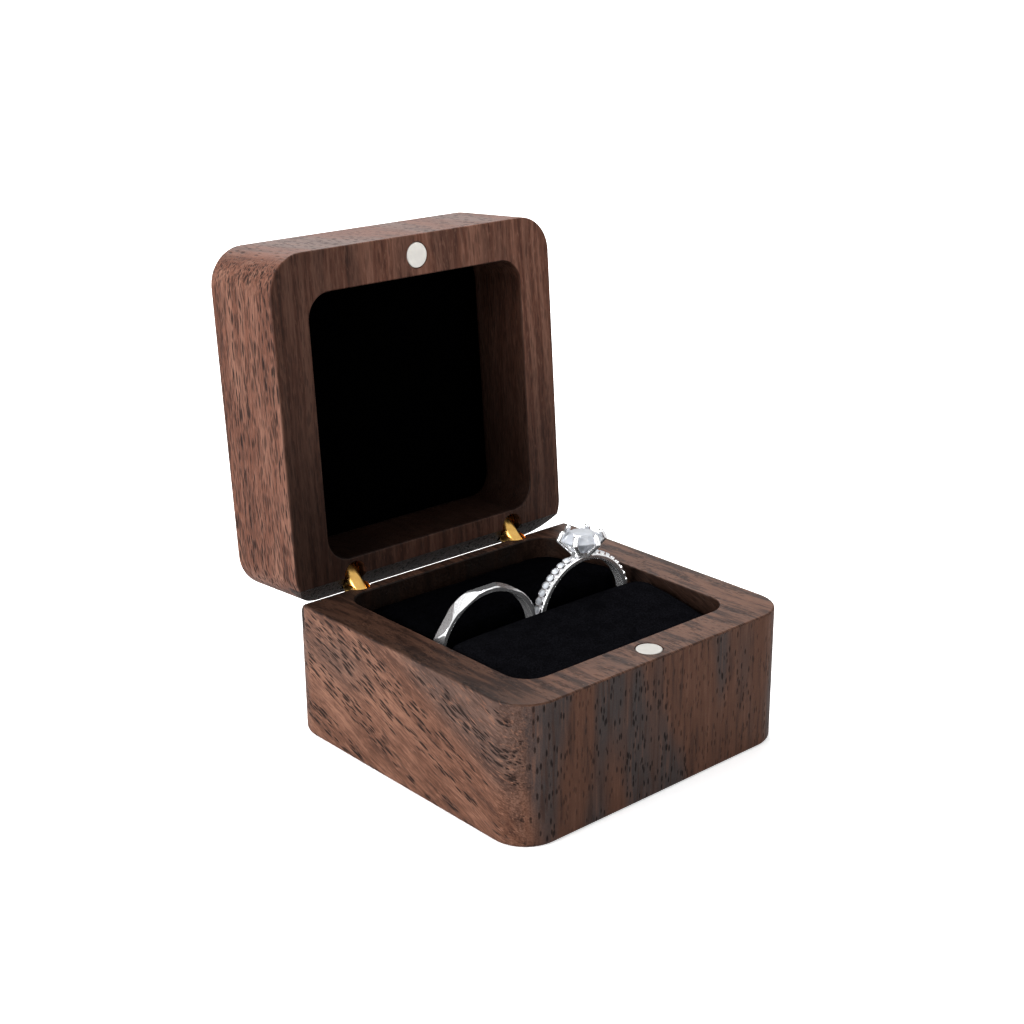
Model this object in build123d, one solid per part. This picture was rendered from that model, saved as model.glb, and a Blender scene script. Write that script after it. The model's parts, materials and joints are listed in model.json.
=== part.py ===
from build123d import *
import math
import os

# Square walnut ring box: hinged lid, two velvet pads, a band ring and a solitaire ring.
# Millimetres. X runs along the hinge line, +Y points to the hinge side, +Z is up, and the
# origin is the middle of the base's underside. The lid is drawn shut, then swung open.

# Box
box_width = 55.0            # along the hinge line
box_depth = 55.0            # front to hinge side
base_height = 22.0
lid_height = 17.0
corner_radius = 6.0         # upright corners
wall = 6.5
cavity_corner_radius = 4.0
base_floor = 6.0
lid_floor = 5.0
base_foot_round = 0.8       # round where the sides meet the underside
lid_top_round = 1.0         # round where the sides meet the lid's top
rim_break = 0.3             # small round on the rim's edges
base_bevel_depth = 4.6      # bevel on the base's hinge side: across the rim
base_bevel_height = 4.6     # and down the back
lid_bevel_depth = 3.5
lid_bevel_height = 3.5
rim_gap = 0.1               # between the two rims when shut
open_angle = 93.8           # degrees, set by the barrels' noses

# Barrel hinges
hinge_spacing = 32.8        # between the two hinges
hinge_inset = 0.4           # the barrels' axes from the wall's middle towards the cavity
hinge_rise = 0.75           # the lower barrel stands this far proud, the upper one is sunk by it
barrel_radius = 2.1
barrel_length = 10.0
barrel_dome = 2.6           # radius of the domed nose
barrel_bore_gap = 0.05      # glue line around the barrel
barrel_end_gap = 0.3        # below the barrel
groove_depth = 0.15
groove_width = 0.5
groove_pitch = 1.8
groove_count = 3
groove_start = 1.3          # from the barrel's end to the first groove
link_span = 4.2             # between the two pins of one hinge
link_thickness = 2.6
link_end_radius = 1.7
link_edge_round = 1.0       # on the long edges, so that the link shows as a rounded nose
link_slot_gap = 0.15        # each side of the link
slot_floor_gap = 0.1
nose_gap = 0.05             # each nose stops this far short of the middle plane
pin_radius = 0.5
pin_inset = 0.2             # each pin end lies this far inside the barrel
pin_seat_gap = 0.01         # pin in its barrel
pin_running_gap = 0.04      # pin in the link

# Magnets
magnet_radius = 2.0
magnet_thickness = 2.0
magnet_recess = 0.05
magnet_pocket_gap = 0.1
magnet_edge = 0.15

# Pads and linings
card_thickness = 1.0
lining_gap = 0.2            # between a lining and the cavity's walls
pad_slot = 2.8              # between the two pads, where the rings stand
pad_crest_drop = 0.25       # the pads' crest below the rim
pad_wall_drop = 3.3         # the pads' edge at the wall below the rim
pad_bulge = 0.35            # rise of the crown over a straight line
pad_nose_radius = 2.2       # round from the crown into the slot
velvet_thickness = 0.5
velvet_slack = 0.05         # between the velvet and the foam
lid_card_thickness = 0.5
lid_velvet_thickness = 0.3

# Band ring
band_x = -10.15
band_height = 17.2          # centre of the ring above the underside
band_bore_radius = 9.1
band_thickness = 0.9
band_width = 2.2
band_edge = 0.22
facet_count = 14
facet_depth = 0.22
facet_tilt = 11.0           # degrees across the band, alternating
facet_skew = 26.0           # degrees from the band's axis

# Solitaire ring
solitaire_x = 9.65
solitaire_height = 17.6
shank_bore_radius = 8.7
shank_thickness = 0.9
shank_width = 1.9
shank_edge = 0.25
cup_count = 8               # set stones on each shoulder
cup_start = 19.0            # degrees from the top to the first one
cup_pitch = 1.3
cup_radius = 0.72
cup_height = 0.35
chip_radius = 0.54
chip_sides = 8
chip_seat_gap = 0.06
chip_crown = 0.2
chip_pavilion = 0.4
chip_crown_taper = 42.0     # degrees
chip_pavilion_taper = 44.0
stone_diameter = 6.5
stone_table = 0.56          # share of the diameter
main_facets = 8             # on the crown, and again on the pavilion
stone_girdle = 0.14
stone_girdle_height = 12.3  # above the ring's centre
crown_angle = 34.5
star_angle = 21.0
upper_girdle_angle = 40.5
pavilion_angle = 40.8
lower_girdle_angle = 42.2
claw_count = 6
claw_radius = 0.45
claw_foot_circle = 1.5      # radius of the circle that the claws' feet stand on
claw_grip = 0.35            # how far the claw's tip reaches over the stone
claw_rise = 0.9             # straight part of the claw above the girdle
claw_turn = 30.0            # degrees from X to the first claw
claw_bite = 0.1             # the claw's middle line inside its own radius at the girdle
seat_gap = 0.05             # stone in its claws
collet_height = 0.8

# Drawing
relief_steps = 3            # link positions that shape the notch behind each barrel
cut_over = 1.0              # a cutter runs this far past the face that it opens
level_tolerance = 0.01      # finds the edges that lie at one height

# Worked out from the sizes above
fold = open_angle / 2                     # turn at each pin
cavity_width = box_width - 2 * wall
cavity_depth = box_depth - 2 * wall
wall_middle_y = (box_depth - wall) / 2
hinge_y = wall_middle_y - hinge_inset
magnet_y = -wall_middle_y
lid_rim_z = base_height + rim_gap
base_rise = rim_gap / 2 + hinge_rise      # the links' middle above the base's rim, when shut
lid_rise = rim_gap / 2 - hinge_rise       # the links' middle out of the lid's rim
pin_drop = link_span / 2                  # each pin's distance from the links' middle
nose_reach = pin_drop - nose_gap
pad_floor_z = base_floor + card_thickness
hinge_sides = {"left": -hinge_spacing / 2, "right": hinge_spacing / 2}
STANDING = (Align.CENTER, Align.CENTER, Align.MIN)
HANGING = (Align.CENTER, Align.CENTER, Align.MAX)


def swing(shape, pin_height):
    """Turn a shape open by half the lid's angle about a pin."""
    pivot = Pos(0, hinge_y, pin_height)
    return pivot * Rot(-fold, 0, 0) * pivot.inverse() * shape


def swing_link(shape):
    return swing(shape, base_height + base_rise - pin_drop)


def swing_lid(shape):
    return swing_link(swing(shape, base_height + base_rise + pin_drop))


def to_base(shape):
    """From the rim's own frame, where the rim is at z = 0 and the wood below it."""
    return Pos(0, 0, base_height) * shape


def to_lid(shape):
    return swing_lid(Pos(0, 0, lid_rim_z) * mirror(shape, about=Plane.XY))


def yz_prism(outline, length):
    """Extrude a closed outline drawn in Y and Z along X, centred on x = 0."""
    return extrude(Plane.YZ * make_face(outline), length / 2, both=True)


def edges_at(shape, height, half_width, half_depth):
    """Edges at one height that lie within a centred rectangle."""
    level = shape.edges().filter_by_position(
        Axis.Z, height - level_tolerance, height + level_tolerance)
    return [edge for edge in level
            if abs(edge.center().X) <= half_width and abs(edge.center().Y) <= half_depth]


# Wood

def hinge_side_bevel(depth, height):
    """Wedge taken off the hinge side's rim edge, drawn to twice its size so that it cuts clean."""
    start_y = box_depth / 2 - depth
    points = [(start_y, 0), (start_y + 2 * depth, -2 * height), (start_y + 2 * depth, height),
              (start_y, height)]
    return yz_prism(Polyline(*points, close=True), 2 * box_width)


def round_hole(radius, depth):
    """Cutter for a hole down from z = 0."""
    return Pos(0, 0, cut_over) * Cylinder(radius, depth + cut_over, align=HANGING)


def barrel_bore(x, rise):
    depth = barrel_length + barrel_end_gap - rise
    return Pos(x, hinge_y, 0) * round_hole(barrel_radius + barrel_bore_gap, depth)


def link_blank(gap):
    """Round-ended upright plate, its lower pin at the origin, larger by gap on every side."""
    outline = SlotCenterToCenter(link_span, 2 * (link_end_radius + gap))
    return Pos(0, 0, pin_drop) * Rot(0, 90, 0) * extrude(outline, link_thickness / 2 + gap, both=True)


def link_relief(x, rise):
    """Notch behind the barrel that clears the link while it folds back."""
    pivot = Pos(x, hinge_y, rise - pin_drop)
    steps = range(1, relief_steps + 1)
    return [pivot * Rot(-fold * step / relief_steps, 0, 0) * link_blank(link_slot_gap) for step in steps]


def magnet_pocket():
    depth = magnet_recess + magnet_thickness + magnet_pocket_gap
    return Pos(0, magnet_y, 0) * round_hole(magnet_radius + magnet_pocket_gap, depth)


def wooden_half(height, floor, outer_round, bevel_depth, bevel_height, rise):
    """Base or lid in the rim's frame: rounded block, cavity, bevel, bores and pocket."""
    wood = extrude(RectangleRounded(box_width, box_depth, corner_radius), -height)
    wood = fillet(wood.faces().sort_by(Axis.Z)[0].edges(), outer_round)
    wood = fillet(wood.faces().sort_by(Axis.Z)[-1].edges(), rim_break)
    wood -= extrude(RectangleRounded(cavity_width, cavity_depth, cavity_corner_radius), -(height - floor))
    inner = edges_at(wood, 0, cavity_width / 2 + level_tolerance, cavity_depth / 2 + level_tolerance)
    wood = fillet(inner, rim_break)
    wood -= hinge_side_bevel(bevel_depth, bevel_height)
    for x in hinge_sides.values():
        wood -= barrel_bore(x, rise)
        wood -= link_relief(x, rise)
    return wood - magnet_pocket()


# Hinges

def nose_cut():
    """What the nose leaves free so that both barrels can roll on the middle plane."""
    turn = math.radians(fold)
    top = (0, nose_reach - pin_drop)
    middle = (nose_reach * math.sin(turn / 2), nose_reach * math.cos(turn / 2) - pin_drop)
    end = (nose_reach * math.sin(turn), nose_reach * math.cos(turn) - pin_drop)
    run = 2 * barrel_radius
    low = (end[0] + run * math.cos(turn), end[1] - run * math.sin(turn))
    outline = [ThreePointArc(top, middle, end),
               Polyline(end, low, (low[0], cut_over), (0, cut_over), top)]
    return yz_prism(outline, 3 * barrel_radius)


def barrel_blank():
    """Domed barrel with grip grooves; the links' middle is at z = 0 when shut."""
    drop = barrel_dome - math.sqrt(barrel_dome ** 2 - barrel_radius ** 2)
    half = math.asin(barrel_radius / barrel_dome) / 2
    top = (0, -nose_gap)
    middle = (barrel_dome * math.sin(half), -nose_gap - barrel_dome * (1 - math.cos(half)))
    edge = (barrel_radius, -nose_gap - drop)
    side = Polyline(edge, (barrel_radius, -barrel_length), (0, -barrel_length), top)
    blank = revolve(Plane.XZ * make_face([ThreePointArc(top, middle, edge), side]), Axis.Z)
    groove = Cylinder(2 * barrel_radius, groove_width) - Cylinder(barrel_radius - groove_depth, groove_width)
    for number in range(groove_count):
        blank -= Pos(0, 0, -barrel_length + groove_start + groove_pitch * number) * groove
    return blank


def barrel(x, rise):
    slot_width = link_thickness + 2 * link_slot_gap
    slot_floor = -pin_drop - link_end_radius - slot_floor_gap
    slot = Box(slot_width, 3 * barrel_radius, cut_over - slot_floor, align=STANDING)
    pin_hole = Rot(0, 90, 0) * Cylinder(pin_radius + pin_seat_gap, 3 * barrel_radius)
    body = barrel_blank() - Pos(0, 0, slot_floor) * slot - Pos(0, 0, -pin_drop) * pin_hole - nose_cut()
    return Pos(x, hinge_y, rise) * body


def pin(x, rise):
    rod = Rot(0, 90, 0) * Cylinder(pin_radius, 2 * (barrel_radius - pin_inset))
    return Pos(x, hinge_y, rise - pin_drop) * rod


def link(x):
    plate = link_blank(0)
    solid = fillet(plate.faces().filter_by(Axis.X).edges(), link_edge_round)
    hole = Rot(0, 90, 0) * Cylinder(pin_radius + pin_running_gap, 2 * link_thickness)
    for height in (0, link_span):
        solid -= Pos(0, 0, height) * hole
    return Pos(x, hinge_y, base_height + base_rise - pin_drop) * solid


# Magnets

def magnet():
    disc = Cylinder(magnet_radius, magnet_thickness, align=HANGING)
    disc = fillet(disc.edges().filter_by(GeomType.CIRCLE), magnet_edge)
    return Pos(0, magnet_y, -magnet_recess) * disc


# Pads and linings

def cavity_plug(inset, low, high):
    """A block with the cavity's outline, smaller by inset all round."""
    outline = RectangleRounded(cavity_width - 2 * inset, cavity_depth - 2 * inset,
                               cavity_corner_radius - inset)
    return Pos(0, 0, low) * extrude(outline, high - low)


def pad_block(inset):
    """The rear pad, smaller by inset on every side but its underside."""
    slot_y = pad_slot / 2 + inset
    wall_y = cavity_depth / 2 - lining_gap - inset
    crest_z = base_height - pad_crest_drop - inset
    edge_z = base_height - pad_wall_drop - inset
    crest_y = slot_y + pad_nose_radius
    crown_middle = ((crest_y + wall_y) / 2, (crest_z + edge_z) / 2 + pad_bulge)
    bend = pad_nose_radius * (1 - math.sqrt(0.5))
    outline = [
        Polyline((wall_y, edge_z), (wall_y, pad_floor_z), (slot_y, pad_floor_z),
                 (slot_y, crest_z - pad_nose_radius)),
        ThreePointArc((slot_y, crest_z - pad_nose_radius), (slot_y + bend, crest_z - bend),
                      (crest_y, crest_z)),
        ThreePointArc((crest_y, crest_z), crown_middle, (wall_y, edge_z)),
    ]
    return yz_prism(outline, cavity_width) & cavity_plug(lining_gap + inset, pad_floor_z, base_height)


def pad_foam():
    return pad_block(velvet_thickness + velvet_slack)


def pad_cover():
    return pad_block(0) - pad_block(velvet_thickness)


def front(shape):
    return mirror(shape, about=Plane.XZ)


def insert_card():
    return cavity_plug(lining_gap, base_floor, pad_floor_z)


def lid_lining():
    """Card against the lid's cavity floor, and velvet drawn over it, in the rim's frame."""
    floor_z = lid_floor - lid_height
    card_top = floor_z + lid_card_thickness
    card = cavity_plug(lining_gap + lid_velvet_thickness, floor_z, card_top)
    velvet = cavity_plug(lining_gap, floor_z, card_top + lid_velvet_thickness) - card
    return card, velvet


# Rings: each is drawn round the Y axis, then set in the slot between the pads

def hoop(bore_radius, thickness, width, edge):
    """A plain ring with a slightly domed outside."""
    section = Pos(bore_radius + thickness / 2, 0) * RectangleRounded(thickness, width, edge)
    return revolve(section, Axis.Y)


def around(angle, shape):
    """Turn a shape drawn at the ring's top (+Z) round the ring's axis."""
    return Rot(0, angle, 0) * shape


def band_ring():
    outer = band_bore_radius + band_thickness
    ring = hoop(band_bore_radius, band_thickness, band_width, band_edge)
    pitch = 2 * math.pi * outer / facet_count
    cutter = Box(2 * pitch, 2 * band_width, cut_over, align=STANDING)
    for number in range(facet_count):
        side = 1 if number % 2 else -1
        facet = Pos(0, 0, outer - facet_depth) * Rot(side * facet_tilt, 0, facet_skew) * cutter
        ring -= around(360 * number / facet_count, facet)
    return Pos(band_x, 0, band_height) * ring


def clip(shape, point, normal):
    """Keep what lies behind a plane."""
    return split(shape, bisect_by=Plane(origin=point, z_dir=normal), keep=Keep.BOTTOM)


def facet_ring(shape, count, offset, angle, radius, height, side):
    """Cut a ring of facets; side is 1 for the crown and -1 for the pavilion."""
    slope = math.radians(angle)
    for number in range(count):
        turn = math.radians(offset + 360 * number / count)
        across = (math.cos(turn), math.sin(turn))
        point = (radius * across[0], radius * across[1], height)
        normal = (math.sin(slope) * across[0], math.sin(slope) * across[1], side * math.cos(slope))
        shape = clip(shape, point, normal)
    return shape


def round_brilliant():
    """Centre stone round the Z axis, its girdle's upper edge at z = 0."""
    radius = stone_diameter / 2
    table_radius = radius * stone_table
    crown = (radius - table_radius) * math.tan(math.radians(crown_angle))
    pavilion = radius * math.tan(math.radians(pavilion_angle))
    half, quarter = 180 / main_facets, 90 / main_facets
    star_radius = table_radius * math.cos(math.radians(half))
    stone = Pos(0, 0, crown) * Cylinder(radius, crown + stone_girdle + pavilion, align=HANGING)
    stone = facet_ring(stone, main_facets, 0, crown_angle, radius, 0, 1)
    stone = facet_ring(stone, main_facets, half, star_angle, star_radius, crown, 1)
    stone = facet_ring(stone, 2 * main_facets, quarter, upper_girdle_angle, radius, 0, 1)
    stone = facet_ring(stone, main_facets, 0, pavilion_angle, radius, -stone_girdle, -1)
    return facet_ring(stone, 2 * main_facets, quarter, lower_girdle_angle, radius, -stone_girdle, -1)


def stone_room():
    """The space that the claws and the collet leave for the centre stone."""
    radius = stone_diameter / 2 + seat_gap
    crown = radius * math.tan(math.radians(crown_angle))
    pavilion = radius * math.tan(math.radians(lower_girdle_angle))
    low = -stone_girdle - seat_gap
    outline = Polyline((0, crown), (radius, seat_gap), (radius, low), (0, low - pavilion), close=True)
    return revolve(Plane.XZ * make_face(outline), Axis.Z)


def rod(start, end, radius):
    """A round bar with round ends between two points."""
    start, end = Vector(*start), Vector(*end)
    bar = Plane(origin=start, z_dir=end - start) * Cylinder(radius, (end - start).length, align=STANDING)
    return bar + Pos(*start) * Sphere(radius) + Pos(*end) * Sphere(radius)


def claw():
    """One claw in the XZ plane, foot at the collet, tip over the stone's edge."""
    foot_z = shank_bore_radius + shank_thickness - stone_girdle_height + claw_radius
    bend_x = stone_diameter / 2 + claw_radius - claw_bite
    foot = (claw_foot_circle, 0, foot_z)
    bend = (bend_x, 0, -stone_girdle)
    tip = (stone_diameter / 2 - claw_grip + claw_radius / 2, 0, claw_rise)
    return rod(foot, bend, claw_radius) + rod(bend, tip, claw_radius)


def solitaire_head():
    """Six-claw head in the ring's own frame; it stands on top of the shank."""
    outer = shank_bore_radius + shank_thickness
    claws = [Rot(0, 0, claw_turn + 360 * number / claw_count) * claw() for number in range(claw_count)]
    collet = Pos(0, 0, outer - stone_girdle_height) * Cylinder(
        claw_foot_circle + claw_radius / 2, collet_height, align=STANDING)
    head = Pos(0, 0, stone_girdle_height) * (collet + claws - stone_room())
    return head - Rot(90, 0, 0) * Cylinder(outer, 4 * shank_width)


def cup_angles():
    step = math.degrees(cup_pitch / (shank_bore_radius + shank_thickness))
    half = [cup_start + step * number for number in range(cup_count)]
    return [-angle for angle in half] + half


def solitaire_shank():
    """Shank with a row of cups on each shoulder and a drilled seat for the centre stone's tip."""
    outer = shank_bore_radius + shank_thickness
    ring = hoop(shank_bore_radius, shank_thickness, shank_width, shank_edge)
    cup = Pos(0, 0, outer - shank_thickness / 2) * Cylinder(
        cup_radius, shank_thickness / 2 + cup_height, align=STANDING)
    hole = round_hole(chip_radius + chip_seat_gap, chip_pavilion + chip_crown)
    for angle in cup_angles():
        ring += around(angle, cup)
    for angle in cup_angles():
        ring -= around(angle, Pos(0, 0, outer + cup_height) * hole)
    return ring - Pos(0, 0, stone_girdle_height) * stone_room()


def chip():
    """One small set stone at the ring's top, eight-sided."""
    girdle = RegularPolygon(chip_radius, chip_sides)
    crown = extrude(girdle, chip_crown, taper=chip_crown_taper)
    pavilion = extrude(girdle, -chip_pavilion, taper=chip_pavilion_taper)
    seat_z = shank_bore_radius + shank_thickness + cup_height - chip_crown / 2
    return Pos(0, 0, seat_z) * (crown + pavilion)


def in_solitaire(shape):
    return Pos(solitaire_x, 0, solitaire_height) * shape


def all_parts():
    base = wooden_half(base_height, base_floor, base_foot_round,
                       base_bevel_depth, base_bevel_height, base_rise)
    lid = wooden_half(lid_height, lid_floor, lid_top_round, lid_bevel_depth, lid_bevel_height, lid_rise)
    parts = {
        "base_shell": to_base(base),
        "lid_shell": to_lid(lid),
        "base_magnet": to_base(magnet()),
        "lid_magnet": to_lid(magnet()),
        "insert_card": insert_card(),
        "rear_pad_foam": pad_foam(),
        "rear_pad_cover": pad_cover(),
        "front_pad_foam": front(pad_foam()),
        "front_pad_cover": front(pad_cover()),
        "band_ring": band_ring(),
        "solitaire_shank": in_solitaire(solitaire_shank()),
        "solitaire_head": in_solitaire(solitaire_head()),
        "centre_stone": in_solitaire(Pos(0, 0, stone_girdle_height) * round_brilliant()),
        "shoulder_stones": in_solitaire(Compound([around(angle, chip()) for angle in cup_angles()])),
    }
    for side, x in hinge_sides.items():
        parts[side + "_lower_barrel"] = to_base(barrel(x, base_rise))
        parts[side + "_lower_pin"] = to_base(pin(x, base_rise))
        parts[side + "_upper_barrel"] = to_lid(barrel(x, lid_rise))
        parts[side + "_upper_pin"] = to_lid(pin(x, lid_rise))
        parts[side + "_link"] = swing_link(link(x))
    card, velvet = lid_lining()
    parts["lid_lining_card"] = to_lid(card)
    parts["lid_lining_velvet"] = to_lid(velvet)
    return parts


os.makedirs("parts", exist_ok=True)
for node, shape in all_parts().items():
    export_step(shape, f"parts/{node}.step")
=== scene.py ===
import json
import math

import bmesh
import bpy
from mathutils import Matrix, Vector

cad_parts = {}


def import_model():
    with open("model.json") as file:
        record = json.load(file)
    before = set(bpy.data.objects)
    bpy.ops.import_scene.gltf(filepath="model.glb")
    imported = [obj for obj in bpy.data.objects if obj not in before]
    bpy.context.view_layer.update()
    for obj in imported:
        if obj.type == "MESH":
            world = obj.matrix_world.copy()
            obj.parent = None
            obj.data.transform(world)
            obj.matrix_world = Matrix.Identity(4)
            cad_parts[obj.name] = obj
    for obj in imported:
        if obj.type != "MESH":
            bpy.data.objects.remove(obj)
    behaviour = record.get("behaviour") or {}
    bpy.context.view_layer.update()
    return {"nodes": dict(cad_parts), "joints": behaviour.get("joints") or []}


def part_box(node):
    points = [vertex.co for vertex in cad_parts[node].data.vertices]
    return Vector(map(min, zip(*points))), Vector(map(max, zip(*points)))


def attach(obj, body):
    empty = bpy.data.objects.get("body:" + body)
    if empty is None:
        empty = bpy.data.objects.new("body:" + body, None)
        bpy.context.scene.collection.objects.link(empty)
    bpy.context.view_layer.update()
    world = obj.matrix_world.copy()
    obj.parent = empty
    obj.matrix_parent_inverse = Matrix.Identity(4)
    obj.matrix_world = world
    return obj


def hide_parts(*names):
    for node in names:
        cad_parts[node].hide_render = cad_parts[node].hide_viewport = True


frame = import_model()
nodes = frame["nodes"]
MM = 0.001

# The lid's local frame: the two coupled joints together turn it shut about X.
LID_ANGLE = math.radians(sum(joint["range_deg"][1] for joint in frame["joints"]))
LID_TURNS = [(tuple(1000 * v for v in joint["pos_m"]), math.radians(joint["range_deg"][1]))
             for joint in reversed(frame["joints"])]
GRAIN_DIP = math.radians(21)        # the base's grain runs down towards the front

# In millimetres, in the shut box's space
BOX_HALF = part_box("base_shell")[1].x / MM
RIM_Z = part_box("base_shell")[1].z / MM
CARD_GAP = 0.2                  # between the insert card and the cavity's walls
CAVITY_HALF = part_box("insert_card")[1].x / MM + CARD_GAP
CAVITY_CORNER = 4.0
HALF_RIM_GAP = 0.05             # from each rim to the plane between them
CAVITY_REACH = 16.4         # from the rim past both cavities' floors, short of the lid's outside


# Node-tree helpers

class Tree:
    """Short ways to add and link shader nodes."""

    def __init__(self, owner):
        self.tree = owner.node_tree
        self.tree.nodes.clear()

    def add(self, kind, inputs=None, **settings):
        node = self.tree.nodes.new(kind)
        for name, value in settings.items():
            setattr(node, name, value)
        for name, value in (inputs or {}).items():
            self.feed(node.inputs[name], value)
        return node

    def feed(self, socket, value):
        if isinstance(value, bpy.types.NodeSocket):
            self.tree.links.new(value, socket)
        else:
            socket.default_value = value

    def math(self, operation, first, second=0.0, clamp=False):
        settings = {"operation": operation, "use_clamp": clamp}
        return self.add("ShaderNodeMath", {0: first, 1: second}, **settings).outputs[0]

    def noise(self, vector, scale, detail=2.0, roughness=0.5):
        inputs = {"Vector": vector, "Scale": scale, "Detail": detail, "Roughness": roughness}
        return self.add("ShaderNodeTexNoise", inputs).outputs["Fac"]

    def cells(self, vector):
        """Distance to the nearest of scattered points, about one to a unit."""
        node = self.add("ShaderNodeTexVoronoi", {"Vector": vector, "Scale": 1.0})
        return node.outputs["Distance"]

    def band(self, value, low, high, out_low=0.0, out_high=1.0):
        """Map a range to another, clamped and eased at both ends."""
        inputs = {"Value": value, "From Min": low, "From Max": high, "To Min": out_low,
                  "To Max": out_high}
        return self.add("ShaderNodeMapRange", inputs, interpolation_type="SMOOTHSTEP").outputs[0]

    def mix(self, share, first, second, blend="MIX"):
        node = self.add("ShaderNodeMix", data_type="RGBA", blend_type=blend)
        self.feed(node.inputs[0], share)
        self.feed(node.inputs[6], first)
        self.feed(node.inputs[7], second)
        return node.outputs[2]

    def stretch(self, vector, scale, offset=(0, 0, 0)):
        node = self.add("ShaderNodeMapping", {"Vector": vector, "Scale": scale, "Location": offset})
        return node.outputs[0]

    def millimetres(self):
        """Object coordinates in millimetres, the same at every pose."""
        coord = self.add("ShaderNodeTexCoord").outputs["Object"]
        return self.stretch(coord, (1000, 1000, 1000))

    def scaled(self, tone, factor):
        node = self.add("ShaderNodeVectorMath", {0: tone, "Scale": factor}, operation="SCALE")
        return node.outputs[0]

    def bump(self, height, distance, strength):
        inputs = {"Height": height, "Distance": distance, "Strength": strength}
        return self.add("ShaderNodeBump", inputs).outputs[0]

    def surface(self, **inputs):
        """Principled shader to the output; a socket name's spaces are written as underscores."""
        shader = self.add("ShaderNodeBsdfPrincipled")
        for name, value in inputs.items():
            self.feed(shader.inputs[name.replace("_", " ")], value)
        out = self.add("ShaderNodeOutputMaterial")
        self.tree.links.new(shader.outputs[0], out.inputs[0])
        return shader


def new_material(name):
    material = bpy.data.materials.new(name)
    material.use_nodes = True
    return material, Tree(material)


def colour(red, green, blue):
    return (red, green, blue, 1.0)


def dress(material, *names):
    for name in names:
        mesh = nodes[name].data
        mesh.materials.clear()
        mesh.materials.append(material)


# Materials

def shut_place(t, turns):
    """Millimetres in the shut box's space; each turn is a centre and an angle about X."""
    place = t.millimetres()
    for centre, angle in turns:
        inputs = {"Vector": place, "Center": centre, "Angle": angle}
        place = t.add("ShaderNodeVectorRotate", inputs, rotation_type="X_AXIS").outputs[0]
    return place


def fade(t, mask, value):
    """1 outside the mask and the value inside it."""
    return t.math("ADD", t.math("MULTIPLY", mask, t.math("SUBTRACT", value, 1.0)), 1.0)


def pore_mask(t, vector, scale, size):
    """Long thin vessels: stretched cells with a dark core."""
    return t.band(t.cells(t.stretch(vector, scale)), size * 1.5, size * 0.7)


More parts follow.
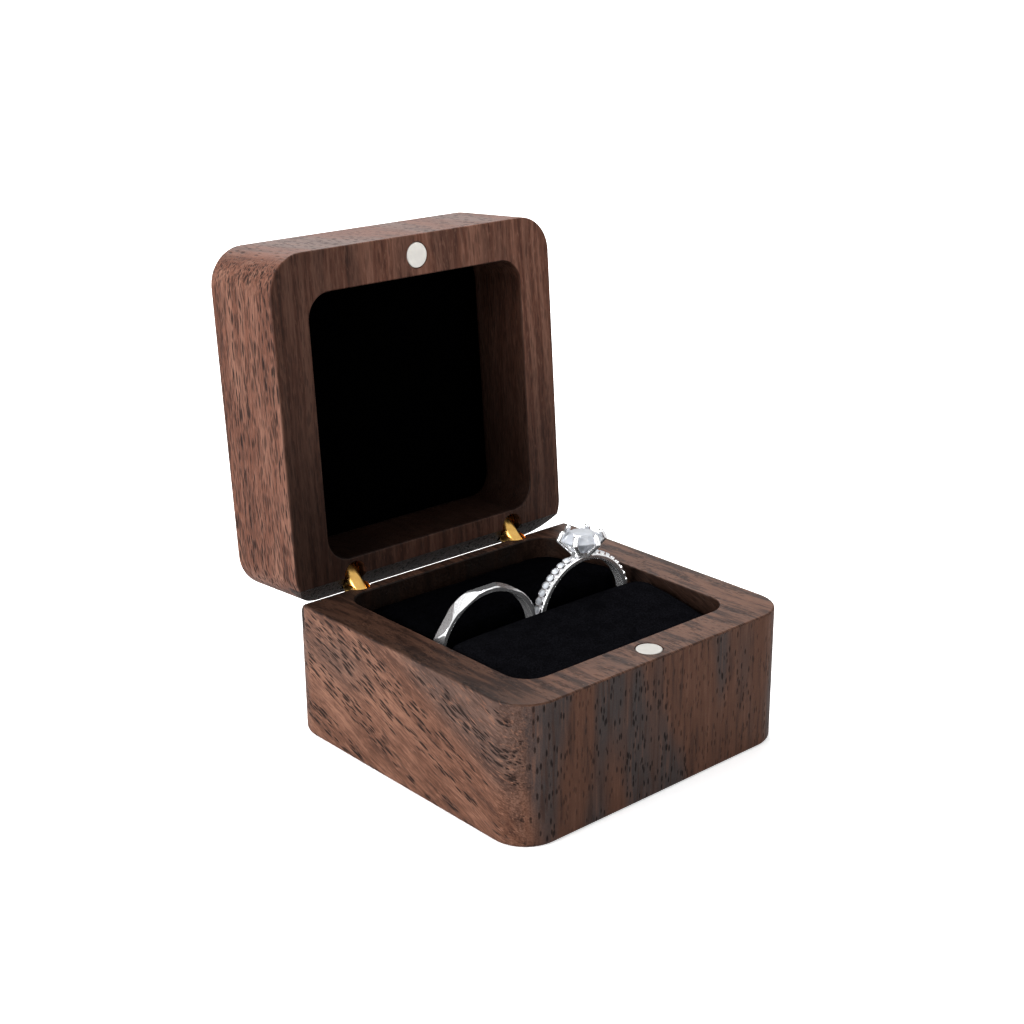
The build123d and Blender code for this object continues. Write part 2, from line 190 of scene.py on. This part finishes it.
def walnut(name, turns, dip, seed, tones, pores, shades):
    """Oiled walnut as a solid texture; the grain runs along the shut box's Y, dipped by an angle.

    Painted shade darkens the rim across X and along Y, the cavity's walls and the hinge-side bevel,
    and painted light brightens the lid's rim towards its right.
    """
    heart, light, dark, grey, front = tones
    width, crowd, strings, depth = pores
    across, along, hollow_shade, stripe_share, (bevel_start, bevel_height) = shades
    material, t = new_material(name)
    shut = shut_place(t, turns)
    part = t.add("ShaderNodeSeparateXYZ", {"Vector": shut})
    x, y, z = (part.outputs[axis] for axis in "XYZ")
    core = CAVITY_HALF - CAVITY_CORNER
    over_x, over_y = (t.math("MAXIMUM", t.math("SUBTRACT", t.math("ABSOLUTE", v), core), 0.0)
                      for v in (x, y))
    squares = t.math("ADD", t.math("POWER", over_x, 2.0), t.math("POWER", over_y, 2.0))
    reach = t.math("SQRT", squares)
    from_rim = t.math("ABSOLUTE", t.math("SUBTRACT", z, RIM_Z + HALF_RIM_GAP))
    inside = t.math("MULTIPLY", t.band(reach, CAVITY_CORNER + 0.22, CAVITY_CORNER + 0.05),
                    t.band(from_rim, CAVITY_REACH + 0.4, CAVITY_REACH))
    rim = t.band(from_rim, 0.4, 0.15)
    face = t.math("SUBTRACT", t.band(y, 2.5 - BOX_HALF, 0.2 - BOX_HALF), rim, clamp=True)
    bevel = t.math("MULTIPLY", t.band(y, bevel_start - 0.1, bevel_start + 0.2),
                   t.band(from_rim, bevel_height, bevel_height - 0.6))

    dipped = {"Vector": shut, "Angle": -dip}
    turned = t.add("ShaderNodeVectorRotate", dipped, rotation_type="X_AXIS")
    grain = t.stretch(turned.outputs[0], (1, 1, 1), seed)
    warp = t.noise(t.stretch(grain, (0.05, 0.02, 0.05)), 1.0, 2.0)
    sway = t.math("MULTIPLY", warp, 5.0)
    shift = t.add("ShaderNodeCombineXYZ", {"X": sway, "Z": sway}).outputs[0]
    drawn = t.add("ShaderNodeVectorMath", {0: grain, 1: shift}, operation="ADD").outputs[0]

    figure = t.noise(t.stretch(drawn, (0.22, 0.012, 0.04)), 1.0, 2.0, 0.5)
    streaks = t.noise(t.stretch(drawn, (0.8, 0.03, 0.30)), 1.0, 3.0, 0.6)
    fibres = t.noise(t.stretch(drawn, (5.0, 0.35, 4.0)), 1.0, 3.0, 0.65)
    flecks = t.noise(t.stretch(drawn, (2.6, 0.55, 2.6)), 1.0, 2.0, 0.6)

    tone = t.mix(t.band(streaks, 0.42, 0.66), heart, light)
    tone = t.mix(t.band(figure, 0.48, 0.62, 0.0, 0.7), tone, grey)
    tone = t.mix(t.band(streaks, 0.44, 0.30, 0.0, 0.7), tone, dark)
    stripes = t.mix(t.band(streaks, 0.40, 0.58), dark, light)
    tone = t.mix(t.math("MULTIPLY", rim, stripe_share), tone, stripes)
    tone = t.mix(t.band(flecks, 0.54, 0.68, 0.0, 0.6), tone, light)
    fine = t.mix(1.0, tone, colour(0.50, 0.46, 0.45), "MULTIPLY")
    fine_share = t.math("MULTIPLY", t.band(fibres, 0.60, 0.38, 0.0, 0.85), fade(t, rim, 0.5))
    tone = t.mix(fine_share, tone, fine)

    broad = t.noise(t.stretch(shut, (0.15, 0.1, 0.025), seed), 1.0, 1.0)
    upright = t.noise(t.stretch(shut, (1.5, 0.5, 0.10), seed), 1.0, 3.0, 0.6)
    # The front's end-grain tone is greyed and cooled, partly as painted sheen
    end_grain_and_sheen = t.mix(t.band(broad, 0.42, 0.58), front, heart)
    end_grain_and_sheen = t.mix(t.band(upright, 0.50, 0.34, 0.0, 0.75), end_grain_and_sheen, dark)
    end_grain_and_sheen = t.mix(t.band(upright, 0.54, 0.70, 0.0, 0.40), end_grain_and_sheen, light)
    tone = t.mix(t.math("MULTIPLY", face, 0.85), tone, end_grain_and_sheen)

    # Vessels lie in strings on the sides; on the front the cut makes them short upright dashes.
    rows = t.noise(t.stretch(drawn, (0.40, 0.010, 0.60)), 1.0, 0.0)
    rows = t.band(rows, 0.49, 0.55, 1.0 - strings, 1.0)
    vessels = pore_mask(t, drawn, (2.3 * crowd, 0.42, 2.3 * crowd), width * 1.15)
    elsewhere = t.stretch(drawn, (1, 1, 1), (7, 3, 5))
    wide_vessels = pore_mask(t, elsewhere, (1.3 * crowd, 0.24, 1.3 * crowd), width)
    vessels = t.math("MULTIPLY", t.math("MAXIMUM", vessels, wide_vessels), rows)
    dashes = pore_mask(t, t.stretch(shut, (1, 1, 1), seed), (1.7, 0.8, 0.50), 0.24)
    dashes = t.math("MULTIPLY", dashes, t.band(broad, 0.62, 0.45, 0.5, 1.0))
    on_face = t.math("MULTIPLY", face, t.math("SUBTRACT", dashes, vessels))
    vessels = t.math("ADD", vessels, on_face)
    vessels = t.math("MULTIPLY", vessels, fade(t, t.math("MAXIMUM", rim, inside), 0.4))
    tone = t.mix(t.math("MULTIPLY", vessels, 0.88), tone, colour(0.012, 0.007, 0.006))

    # Painted shade on the rim across X and along Y, and painted light on the lid's right rim
    shade = t.math("MULTIPLY", t.band(x, *across), t.band(y, *along))
    shade = fade(t, t.math("MAXIMUM", rim, inside), shade)
    # Painted shade in the cavity and on the hinge-side bevel
    recess_shade = t.math("MULTIPLY", fade(t, inside, hollow_shade), fade(t, bevel, 0.22))
    tone = t.scaled(tone, t.math("MULTIPLY", shade, recess_shade))

    grainy = t.math("SUBTRACT", t.math("MULTIPLY", fibres, 0.4), vessels)
    shape = t.bump(grainy, depth * MM, 0.8)
    rough = t.band(fibres, 0.3, 0.7, 0.42, 0.52)
    rough = t.math("ADD", rough, t.math("MULTIPLY", vessels, 0.2))
    t.surface(Base_Color=tone, Roughness=rough, Normal=shape, IOR=1.45, Specular_IOR_Level=0.16)
    return material


def brass():
    material, t = new_material("polished_brass")
    place = t.millimetres()
    tarnish = t.noise(place, 0.7, 3.0)
    lines = t.noise(t.stretch(place, (0.6, 6, 6)), 1.0, 2.0)
    dull = t.band(tarnish, 0.45, 0.75, 0.0, 0.4)
    tone = t.mix(dull, colour(0.86, 0.54, 0.17), colour(0.52, 0.29, 0.08))
    t.surface(Base_Color=tone, Metallic=1.0, Roughness=t.band(tarnish, 0.3, 0.7, 0.24, 0.34),
              Normal=t.bump(lines, 0.008 * MM, 0.4))
    return material


def nickel(name, painted_shade_level):
    material, t = new_material(name)
    place = t.millimetres()
    cloud = t.noise(place, 0.9, 3.0)
    scuffs = t.noise(t.stretch(place, (9, 1.2, 9)), 1.0, 2.0)
    tone = t.mix(t.band(cloud, 0.35, 0.7), colour(0.95, 0.92, 0.86), colour(0.88, 0.85, 0.80))
    # A level below 1 darkens the plate as painted shade
    tone = t.scaled(tone, painted_shade_level)
    t.surface(Base_Color=tone, Metallic=0.35, Roughness=t.band(scuffs, 0.3, 0.7, 0.38, 0.48),
              Normal=t.bump(scuffs, 0.006 * MM, 0.4))
    return material


def steel():
    material, t = new_material("turned_steel")
    turned = t.noise(t.stretch(t.millimetres(), (12, 0.8, 0.8)), 1.0, 2.0)
    tone = t.mix(turned, colour(0.42, 0.42, 0.43), colour(0.6, 0.6, 0.6))
    t.surface(Base_Color=tone, Metallic=1.0, Roughness=0.3, Normal=t.bump(turned, 0.008 * MM, 0.6))
    return material


def white_metal():
    material, t = new_material("white_gold")
    place = t.millimetres()
    wear = t.noise(t.stretch(place, (3, 9, 3)), 1.0, 3.0)
    tone = t.mix(t.band(wear, 0.4, 0.7), colour(0.97, 0.97, 0.98), colour(0.90, 0.90, 0.92))
    t.surface(Base_Color=tone, Metallic=0.8, Roughness=t.band(wear, 0.3, 0.8, 0.12, 0.20),
              Normal=t.bump(wear, 0.002 * MM, 0.3))
    return material


def gem(name, clear):
    """Cut stone; what isn't clear is white diffuse colour, a painted reflection standing in for the
    scatter of many small reflections.
    """
    material, t = new_material(name)
    haze = t.noise(t.millimetres(), 0.8, 2.0)
    tone = t.mix(haze, colour(0.95, 0.97, 1.0), colour(0.88, 0.92, 1.0))
    t.surface(Base_Color=tone, Roughness=0.02, Transmission_Weight=clear, IOR=1.9)
    return material


def velvet(name, pile, glow):
    """Short black pile: matt and dark, with fine tufts."""
    material, t = new_material(name)
    place = t.millimetres()
    tufts = t.noise(place, 4.5, 3.0, 0.75)
    nap = t.noise(place, 0.45, 3.0, 0.6)
    tone = t.mix(t.band(tufts, 0.32, 0.70), pile, glow)
    tone = t.mix(t.band(nap, 0.40, 0.68, 0.0, 0.45), tone, pile)
    t.surface(Base_Color=tone, Roughness=1.0, Specular_IOR_Level=0.0,
              Normal=t.bump(tufts, 0.10 * MM, 0.8))
    return material


def card():
    material, t = new_material("black_card")
    fibre = t.noise(t.millimetres(), 3.0, 4.0, 0.7)
    tone = t.mix(fibre, colour(0.012, 0.012, 0.012), colour(0.03, 0.03, 0.03))
    t.surface(Base_Color=tone, Roughness=0.9, Normal=t.bump(fibre, 0.02 * MM, 0.5))
    return material


# Soft goods

PAD_CREST_INSET = 2.3 * MM      # from the slot's edge to the crest
PAD_EDGE_DROP = 2.9 * MM        # crest down to the edge at the wall
PAD_END_DROP = 0.8 * MM         # at both ends of the roll
PAD_CORNER = 3.8 * MM
PAD_TUCK = 0.7 * MM             # how far the top rolls in before the sides drop
PAD_SLOT_FALL = 1.9 * MM        # from the crest down to the roll's side in the slot
PAD_ROLL = 1.3 * MM             # height of the roll between the sides and the top
PAD_SWELL = 0.28 * MM           # most that a point may move
PAD_CLEAR = 0.12 * MM           # past the CAD cover's box
CLOTH_SCALE = 20.0              # cloth is simulated this many times larger
CLOTH_FACE = 0.5 * MM           # size of the cloth's faces
CLOTH_FRAMES = 20
CLOTH_PINNED = 2.0 * MM         # the cloth is held this far up from the card


def rounded_outline(half_x, half_y, radius, per_corner, per_x, per_y):
    """Points round a centred rounded rectangle, anticlockwise."""
    points = []
    corners = [(1, 1), (-1, 1), (-1, -1), (1, -1)]
    for number, (side_x, side_y) in enumerate(corners):
        start = math.pi / 2 * number
        for step in range(per_corner):
            angle = start + math.pi / 2 * step / per_corner
            points.append((side_x * (half_x - radius) + radius * math.cos(angle),
                           side_y * (half_y - radius) + radius * math.sin(angle)))
        next_x, next_y = corners[(number + 1) % 4]
        end = start + math.pi / 2
        first = Vector((side_x * (half_x - radius) + radius * math.cos(end),
                        side_y * (half_y - radius) + radius * math.sin(end)))
        last = Vector((next_x * (half_x - radius) + radius * math.cos(end),
                       next_y * (half_y - radius) + radius * math.sin(end)))
        count = per_x if number % 2 == 0 else per_y
        points += [tuple(first.lerp(last, step / count)) for step in range(count)]
    return points


def closed_rings(rings):
    """A closed mesh from rings of points with equal counts, capped at both ends."""
    mesh = bmesh.new()
    rows = [[mesh.verts.new(point) for point in ring] for ring in rings]
    count = len(rows[0])
    for low, high in zip(rows, rows[1:]):
        for number in range(count):
            after = (number + 1) % count
            mesh.faces.new((low[number], low[after], high[after], high[number]))
    mesh.faces.new(list(reversed(rows[0])))
    mesh.faces.new(rows[-1])
    bmesh.ops.recalc_face_normals(mesh, faces=mesh.faces)
    return mesh


def make_object(name, mesh):
    data = bpy.data.meshes.new(name)
    mesh.to_mesh(data)
    mesh.free()
    piece = bpy.data.objects.new(name, data)
    bpy.context.scene.collection.objects.link(piece)
    return piece


def apply_modifiers(piece):
    depsgraph = bpy.context.evaluated_depsgraph_get()
    data = bpy.data.meshes.new_from_object(piece.evaluated_get(depsgraph))
    piece.modifiers.clear()
    old = piece.data
    piece.data = data
    bpy.data.meshes.remove(old)


def smooth(piece):
    piece.data.polygons.foreach_set("use_smooth", [True] * len(piece.data.polygons))


def pad_height(x, y, low, high, slot_side):
    """The roll's top: crest beside the slot, falling to the wall and to both ends."""
    depth = high.y - low.y
    from_slot = (high.y - y) if slot_side > 0 else (y - low.y)
    centre = (low.x + high.x) / 2
    end = abs(x - centre) / ((high.x - low.x) / 2)
    along = max(0.0, from_slot - PAD_CREST_INSET) / (depth - PAD_CREST_INSET)
    fall = PAD_EDGE_DROP * along ** 1.7
    near = max(0.0, PAD_CREST_INSET - from_slot) / PAD_CREST_INSET
    fall += PAD_SLOT_FALL * (1 - math.sqrt(max(0.0, 1 - near ** 2)))
    return high.z - fall - PAD_END_DROP * end ** 5


def pad_shape(name, node, slot_side):
    """Velvet-covered roll in the space of its CAD cover, before it is puffed up."""
    low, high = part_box(node)
    centre = (low + high) / 2
    half_x, half_y = (high.x - low.x) / 2, (high.y - low.y) / 2
    rings = []
    side_rows, roll_rows, top_rows = 10, 7, 12

    def ring(inset, height):
        radius = max(PAD_CORNER - inset, 0.6 * MM)
        outline = rounded_outline(half_x - inset, half_y - inset, radius, 8, 44, 20)
        places = [(centre.x + x, centre.y + y) for x, y in outline]
        return [(x, y, height(x, y)) for x, y in places]

    for row in range(side_rows):
        share = row / side_rows
        rings.append(ring(PAD_SWELL * 0.5, lambda x, y, s=share: low.z + s * (
            pad_height(x, y, low, high, slot_side) - PAD_ROLL - low.z)))
    for row in range(roll_rows):
        angle = math.pi / 2 * row / roll_rows
        inset = PAD_SWELL * 0.5 + PAD_TUCK * (1 - math.cos(angle))
        drop = PAD_ROLL * (1 - math.sin(angle))
        rings.append(ring(inset, lambda x, y, d=drop: (
            pad_height(x, y, low, high, slot_side) - d)))
    deepest = half_y - 0.25 * MM
    start = PAD_SWELL * 0.5 + PAD_TUCK
    for row in range(top_rows + 1):
        inset = start + (deepest - start) * row / top_rows
        rings.append(ring(inset, lambda x, y: pad_height(x, y, low, high, slot_side)))
    return make_object(name, closed_rings(rings))


def puff(piece, floor_z):
    """Cloth under light pressure, pinned at the underside, with its travel capped."""
    rest = bpy.data.objects.new("cloth_copy", piece.data.copy())
    bpy.context.scene.collection.objects.link(rest)
    rest.data.transform(Matrix.Scale(CLOTH_SCALE, 4))
    remesh = rest.modifiers.new("even", "REMESH")
    remesh.mode = "VOXEL"
    remesh.voxel_size = CLOTH_FACE * CLOTH_SCALE
    apply_modifiers(rest)
    before = [vertex.co.copy() for vertex in rest.data.vertices]
    pinned = rest.vertex_groups.new(name="pinned")
    sole = (floor_z + CLOTH_PINNED) * CLOTH_SCALE
    pinned.add([v.index for v in rest.data.vertices if v.co.z < sole], 1.0, "REPLACE")
    cloth = rest.modifiers.new("cloth", "CLOTH")
    cloth.settings.quality = 6
    cloth.settings.mass = 0.3
    cloth.settings.tension_stiffness = 25
    cloth.settings.compression_stiffness = 25
    cloth.settings.shear_stiffness = 12
    cloth.settings.bending_stiffness = 1.5
    cloth.settings.use_pressure = True
    cloth.settings.uniform_pressure_force = 4.0
    cloth.settings.vertex_group_mass = "pinned"
    cloth.settings.effector_weights.gravity = 0.0
    cloth.point_cache.frame_start = 1
    cloth.point_cache.frame_end = CLOTH_FRAMES
    scene = bpy.context.scene
    for number in range(1, CLOTH_FRAMES + 1):
        scene.frame_set(number)
    apply_modifiers(rest)
    scene.frame_set(1)
    cap = PAD_SWELL * CLOTH_SCALE
    for vertex, start in zip(rest.data.vertices, before):
        move = vertex.co - start
        if move.length > cap:
            vertex.co = start + move.normalized() * cap
    rest.data.transform(Matrix.Scale(1 / CLOTH_SCALE, 4))
    old = piece.data
    piece.data = rest.data
    bpy.data.objects.remove(rest)
    bpy.data.meshes.remove(old)


def clamp_inside(piece, low, high, margin):
    """No vertex leaves the box by more than the margin."""
    for vertex in piece.data.vertices:
        for axis in range(3):
            vertex.co[axis] = min(max(vertex.co[axis], low[axis] - margin), high[axis] + margin)


def velvet_pad(side, slot_side, material):
    cover = side + "_pad_cover"
    piece = pad_shape(side + "_velvet_roll", cover, slot_side)
    low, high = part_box(cover)
    puff(piece, low.z)
    clamp_inside(piece, low, high, PAD_CLEAR)
    subdivision = piece.modifiers.new("fine", "SUBSURF")
    subdivision.levels = subdivision.render_levels = 1
    apply_modifiers(piece)
    smooth(piece)
    piece.data.materials.append(material)
    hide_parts(cover, side + "_pad_foam")
    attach(piece, "base")
    return piece


LINING_RADIUS = 3.8 * MM
LINING_EDGE = 0.45 * MM         # soft round where the velvet turns over the card
LINING_RIPPLE = 0.03 * MM


def lid_lining(material):
    """Velvet drawn over the lid's card: a thin closed skin with soft edges and faint ripples."""
    node = nodes["lid_lining_velvet"]
    to_open = Matrix.Rotation(-LID_ANGLE, 4, "X")
    to_shut = to_open.inverted()
    local = [to_shut @ vertex.co for vertex in node.data.vertices]
    low = Vector([min(point[axis] for point in local) for axis in range(3)])
    high = Vector([max(point[axis] for point in local) for axis in range(3)])
    centre = (low + high) / 2
    half_x, half_y = (high.x - low.x) / 2, (high.y - low.y) / 2
    rings = []

    def ring(inset, depth, ripple=0.0):
        radius = max(LINING_RADIUS - inset, 0.5 * MM)
        outline = rounded_outline(half_x - inset, half_y - inset, radius, 8, 40, 40)
        points = []
        for x, y in outline:
            wave = ripple * math.sin(x * 330 + 1.3) * math.sin(y * 270 + math.cos(x * 150))
            points.append(to_open @ Vector((centre.x + x, centre.y + y, low.z + depth + wave)))
        return points

    rings.append(ring(LINING_EDGE, high.z - low.z))
    rings.append(ring(0.0, high.z - low.z))
    for row in range(6):
        angle = math.pi / 2 * row / 6
        rings.append(ring(LINING_EDGE * (1 - math.cos(angle)), LINING_EDGE * (1 - math.sin(angle))))
    rows = 30
    for row in range(rows):
        inset = LINING_EDGE + (half_x - LINING_EDGE - 0.4 * MM) * row / (rows - 1)
        rings.append(ring(inset, 0.0, LINING_RIPPLE))
    piece = make_object("lid_velvet_lining", closed_rings(rings))
    smooth(piece)
    piece.data.materials.append(material)
    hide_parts("lid_lining_velvet")
    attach(piece, "lid")
    return piece


# Stage

def floor():
    material, t = new_material("pale_floor")
    paper = t.noise(t.millimetres(), 0.02, 2.0)
    tone = t.mix(paper, colour(0.97, 0.97, 0.97), colour(0.955, 0.955, 0.96))
    path = t.add("ShaderNodeLightPath")
    seen = path.outputs["Is Camera Ray"]
    mirrored = t.math("MULTIPLY", path.outputs["Is Glossy Ray"], 0.25)
    glow = t.math("MAXIMUM", t.math("MULTIPLY", seen, 0.55), mirrored)
    shade = t.mix(seen, colour(0.45, 0.45, 0.45), tone)
    t.surface(Base_Color=shade, Roughness=0.7, Specular_IOR_Level=0.1,
              Emission_Color=colour(1, 1, 1), Emission_Strength=glow)
    mesh = bmesh.new()
    bmesh.ops.create_grid(mesh, x_segments=1, y_segments=1, size=6.0)
    plane = make_object("floor", mesh)
    plane.data.materials.append(material)


def world():
    """White all round to the camera and in reflections; as a light it is dim in front."""
    place = bpy.data.worlds.new("studio")
    bpy.context.scene.world = place
    place.use_nodes = True
    t = Tree(place)
    way = t.add("ShaderNodeTexCoord").outputs["Generated"]
    parts = t.add("ShaderNodeSeparateXYZ", {"Vector": way})
    behind = t.band(parts.outputs["Y"], -0.2, 0.6, 0.10, 0.9)
    above = t.band(parts.outputs["Z"], 0.3, 0.95, 0.0, 0.45)
    left = t.band(parts.outputs["X"], -0.1, -0.9, 0.0, 0.22)
    power = t.math("ADD", t.math("MAXIMUM", behind, above), left)
    path = t.add("ShaderNodeLightPath")
    mirrored = t.math("MAXIMUM", path.outputs["Is Glossy Ray"],
                      path.outputs["Is Transmission Ray"])
    mirrored = t.math("MULTIPLY", mirrored, 0.85)
    strength = t.math("MAXIMUM", path.outputs["Is Camera Ray"], mirrored)
    strength = t.math("MAXIMUM", strength, power)
    back = t.add("ShaderNodeBackground", {"Color": colour(1, 1, 1), "Strength": strength})
    out = t.add("ShaderNodeOutputWorld")
    t.tree.links.new(back.outputs[0], out.inputs[0])


def area_light(name, place, target, size, watts):
    data = bpy.data.lights.new(name, "AREA")
    data.shape = "SQUARE"
    data.size = size
    data.energy = watts
    lamp = bpy.data.objects.new(name, data)
    lamp.location = place
    lamp.rotation_mode = "QUATERNION"
    lamp.rotation_quaternion = (Vector(target) - Vector(place)).to_track_quat("-Z", "Y")
    bpy.context.scene.collection.objects.link(lamp)


def lights():
    aim = (0, 0, 0.03)
    area_light("left_softbox", (-0.55, 0.04, 0.20), aim, 0.35, 4.2)
    area_light("back_softbox", (0.22, 0.46, 0.62), aim, 0.4, 5.5)
    area_light("front_softbox", (0.30, -0.75, 0.35), aim, 0.4, 1.9)


CAMERA_PLACE = (-0.16131, -0.17916, 0.12180)
CAMERA_YAW, CAMERA_PITCH, CAMERA_ROLL = 41.15, -19.485, -0.489   # degrees
CAMERA_LENS = 59.54


def camera():
    yaw, pitch, roll = (math.radians(a) for a in (CAMERA_YAW, CAMERA_PITCH, CAMERA_ROLL))
    data = bpy.data.cameras.new("camera")
    data.lens = CAMERA_LENS
    data.sensor_width = 36
    data.clip_start, data.clip_end = 0.01, 50
    eye = bpy.data.objects.new("camera", data)
    turn = (Matrix.Rotation(-yaw, 4, "Z") @ Matrix.Rotation(math.pi / 2 + pitch, 4, "X")
            @ Matrix.Rotation(roll, 4, "Z"))
    eye.matrix_world = Matrix.Translation(CAMERA_PLACE) @ turn
    bpy.context.scene.collection.objects.link(eye)
    bpy.context.scene.camera = eye


bpy.context.scene.view_settings.view_transform = "Standard"
bpy.context.scene.view_settings.gamma = 0.9
camera()
world()
lights()
floor()

# Tones: heart, light, dark, grey, front (end grain, greyed partly as painted sheen). Pores: width,
# crowding, share in strings, depth in mm.
# Painted shade and light: across X and along Y as (from, to, at from, at to), painted shade inside
# the cavity, the stripes' share on the rim, and the bevel's start and height, where painted shade
# darkens it.
BASE_TONES = (colour(0.150, 0.071, 0.046), colour(0.260, 0.134, 0.090), colour(0.060, 0.033, 0.026),
              colour(0.100, 0.070, 0.060), colour(0.074, 0.064, 0.064))
LID_TONES = (colour(0.154, 0.065, 0.042), colour(0.238, 0.120, 0.084), colour(0.062, 0.028, 0.020),
             colour(0.100, 0.048, 0.034), colour(0.150, 0.100, 0.085))
BASE_SHADES = ((-26.0, -14.0, 0.38, 0.64), (18.0, 24.0, 1.0, 0.7), 0.24, 0.6, (22.9, 4.6))
LID_SHADES = ((-26.0, -2.0, 0.66, 1.40), (-20.0, 20.0, 0.95, 0.36), 0.34, 0.15, (24.0, 3.5))
BASE_PORES = (0.26, 1.0, 0.92, 0.12)
LID_PORES = (0.26, 1.0, 0.35, 0.10)
base_wood = walnut("walnut_base", [], GRAIN_DIP, (0, 0, 0), BASE_TONES, BASE_PORES, BASE_SHADES)
lid_wood = walnut("walnut_lid", LID_TURNS, 0.0, (31, 17, 11), LID_TONES, LID_PORES, LID_SHADES)
dress(base_wood, "base_shell")
dress(lid_wood, "lid_shell")
# The base's magnet is the same nickel plate, darkened to 0.45 as painted shade
dress(nickel("nickel_plate_base_shaded", 0.45), "base_magnet")
dress(nickel("nickel_plate_lid", 1.0), "lid_magnet")
dress(card(), "insert_card", "lid_lining_card")
dress(white_metal(), "band_ring", "solitaire_shank", "solitaire_head")
dress(gem("centre_gem", 0.5), "centre_stone")
dress(gem("small_gems", 0.2), "shoulder_stones")
brass_finish, pin_finish = brass(), steel()
for side in ("left", "right"):
    dress(brass_finish, side + "_lower_barrel", side + "_upper_barrel", side + "_link")
    dress(pin_finish, side + "_lower_pin", side + "_upper_pin")

# The rear pad and the lid's lining are the same black velvet as the front pad, darkened as painted
# shade
pad_velvet = velvet("black_velvet", colour(0.0022, 0.0022, 0.0028),
                    colour(0.0110, 0.0110, 0.0140))
lining_velvet = velvet("lining_velvet", colour(0.0004, 0.0004, 0.0005),
                       colour(0.0012, 0.0012, 0.0015))
rear_velvet_shaded = velvet("rear_velvet_shaded", colour(0.0010, 0.0010, 0.0013),
                     colour(0.0045, 0.0045, 0.0060))
velvet_pad("front", 1, pad_velvet)
velvet_pad("rear", -1, rear_velvet_shaded)
lid_lining(lining_velvet)
